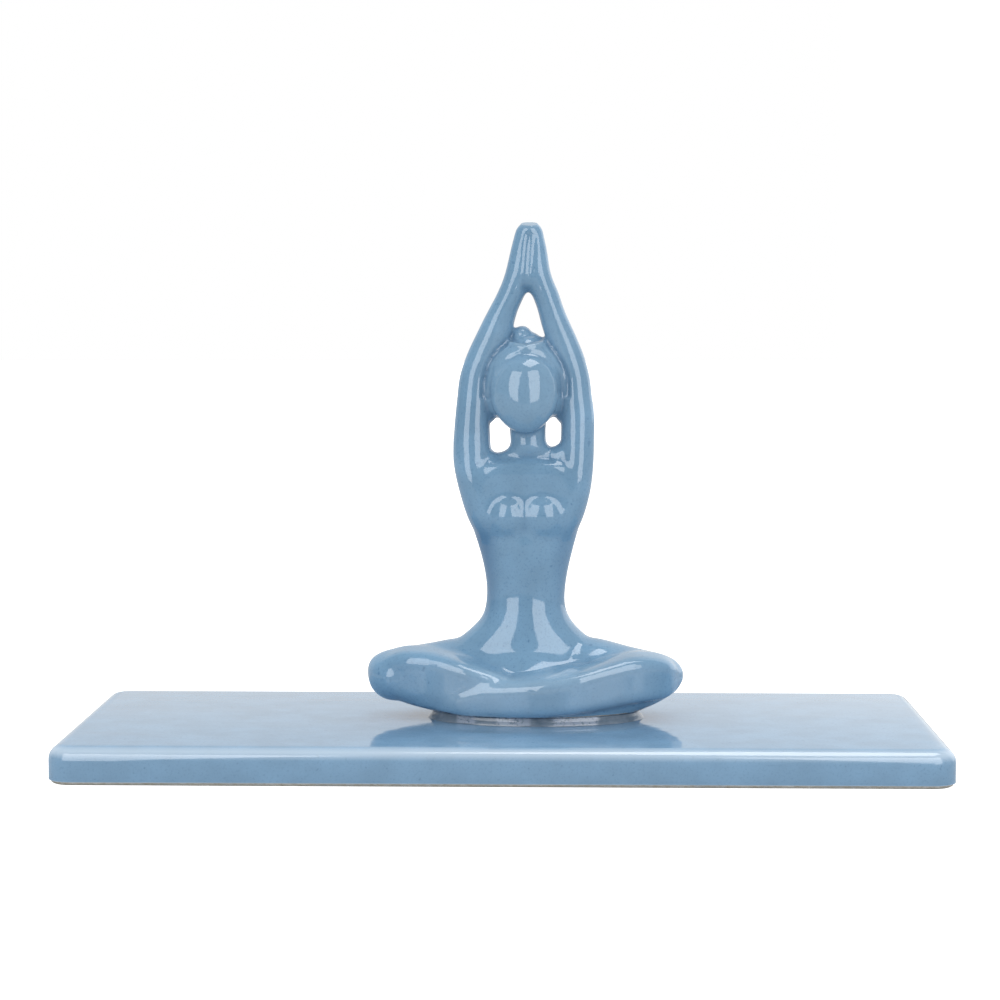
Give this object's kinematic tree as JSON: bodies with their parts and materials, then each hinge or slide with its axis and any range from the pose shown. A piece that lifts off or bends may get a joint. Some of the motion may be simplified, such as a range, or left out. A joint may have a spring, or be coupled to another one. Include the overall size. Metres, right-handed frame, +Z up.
{
  "type": "incense burner",
  "caption": "Ceramic incense stick holder: a seated yoga figure with arms raised to joined fingertips, which hold the stick, bonded to a rounded rectangular ash plate.",
  "frame": {"origin": "on the surface the plate stands on, under the centre of the plate", "axes": "+X along the plate's length, to the right as seen from in front, -Y towards the front, which the figure faces, +Z up"},
  "size_m": [0.24, 0.1, 0.1493],
  "materials": {
    "bare_clay": "unglazed cream stoneware, dry and fine-grained",
    "blue_glaze": "glossy semi-translucent grey-blue glaze, paler where it thins over edges",
    "clear_adhesive": "clear set adhesive, glossy, with small trapped bubbles"
  },
  "bodies": {
    "root": {"plate_body": "bare_clay", "plate_glaze": "blue_glaze", "figure_body": "bare_clay", "figure_glaze": "blue_glaze", "adhesive_bead": "clear_adhesive"}
  },
  "joints": []
}
